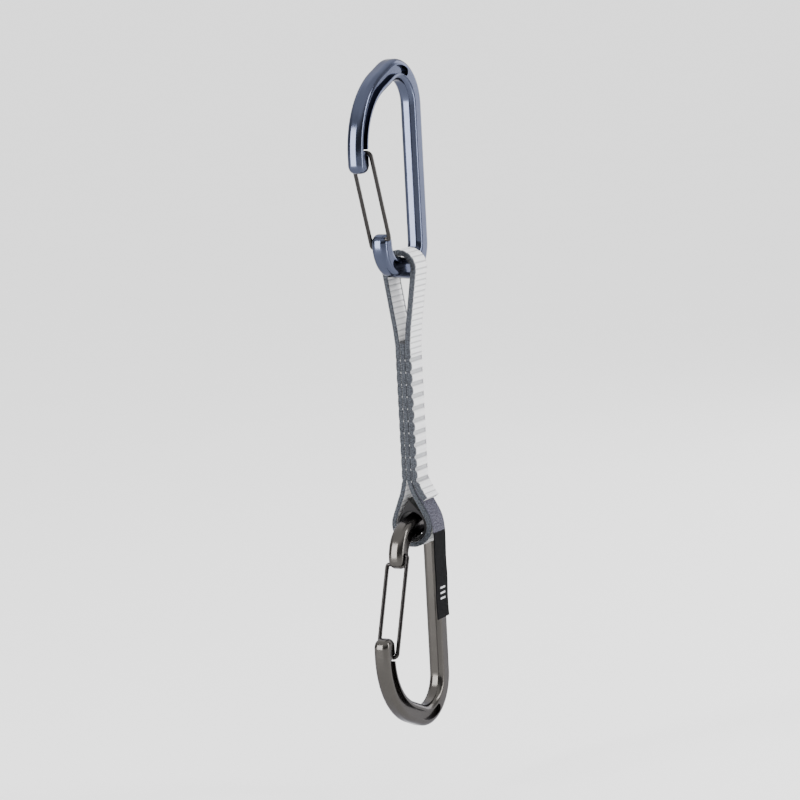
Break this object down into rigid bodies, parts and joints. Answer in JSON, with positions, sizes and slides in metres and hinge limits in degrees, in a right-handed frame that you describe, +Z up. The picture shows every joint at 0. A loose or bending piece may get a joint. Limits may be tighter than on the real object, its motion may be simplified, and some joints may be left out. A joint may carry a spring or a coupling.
{
  "type": "climbing quickdraw",
  "caption": "Climbing quickdraw: an upper and a lower wire-gate carabiner joined by a flat sewn webbing sling, the lower one gripped by a rubber keeper.",
  "frame": {"origin": "deepest point of the inner face of the upper carabiner's nose basket, where a bolt hanger bears", "axes": "+Z up along the hanging quickdraw, +X from the gates towards the spines, Y across the carabiners' thickness"},
  "size_m": [0.054, 0.0189, 0.269],
  "materials": {
    "upper_anodised": "glossy dark blue-grey anodised forging",
    "lower_anodised": "satin gunmetal anodised forging",
    "gate_wire": "glossy near-black coated wire",
    "webbing": "flat woven webbing, white ribbed faces and dark grey selvages",
    "thread": "dense zigzag sewing thread",
    "keeper_rubber": "matt moulded rubber",
    "label_tape": "woven tape, black with a grey top"
  },
  "bodies": {
    "upper_carabiner": {"upper_frame": "upper_anodised"},
    "upper_wire_gate": {"upper_gate": "gate_wire"},
    "sling": {"sling_webbing": "webbing", "rubber_keeper": "keeper_rubber", "label_tag": "label_tape", "label_stitch": "thread", "bar_tack_01": "thread", "bar_tack_02": "thread", "bar_tack_03": "thread", "bar_tack_04": "thread", "bar_tack_05": "thread", "bar_tack_06": "thread", "bar_tack_07": "thread", "bar_tack_08": "thread", "bar_tack_09": "thread", "bar_tack_10": "thread", "bar_tack_11": "thread"},
    "lower_carabiner": {"lower_frame": "lower_anodised"},
    "lower_wire_gate": {"lower_gate": "gate_wire"}
  },
  "joints": [
    {"name": "upper_gate_hinge", "type": "hinge", "parent": "upper_carabiner", "child": "upper_wire_gate", "pos_m": [-0.0169, 0, -0.06298], "axis": [0, 1, 0], "range_deg": [0, 27], "stiffness_Nm_per_rad": 0.5, "springref_deg": -14.32},
    {"name": "sling_swing", "type": "hinge", "parent": "upper_carabiner", "child": "sling", "pos_m": [0.0018, 0, -0.07443], "axis": [1, 0, 0], "range_deg": [-85, 85]},
    {"name": "lower_swing", "type": "hinge", "parent": "sling", "child": "lower_carabiner", "pos_m": [0.0018, 0, -0.17797], "axis": [1, 0, 0], "range_deg": [-60, 60], "stiffness_Nm_per_rad": 0.02, "deforming": ["label_tag"]},
    {"name": "lower_gate_hinge", "type": "hinge", "parent": "lower_carabiner", "child": "lower_wire_gate", "pos_m": [-0.0169, 0, -0.18943], "axis": [0, -1, 0], "range_deg": [0, 27], "stiffness_Nm_per_rad": 0.5, "springref_deg": -14.32}
  ]
}
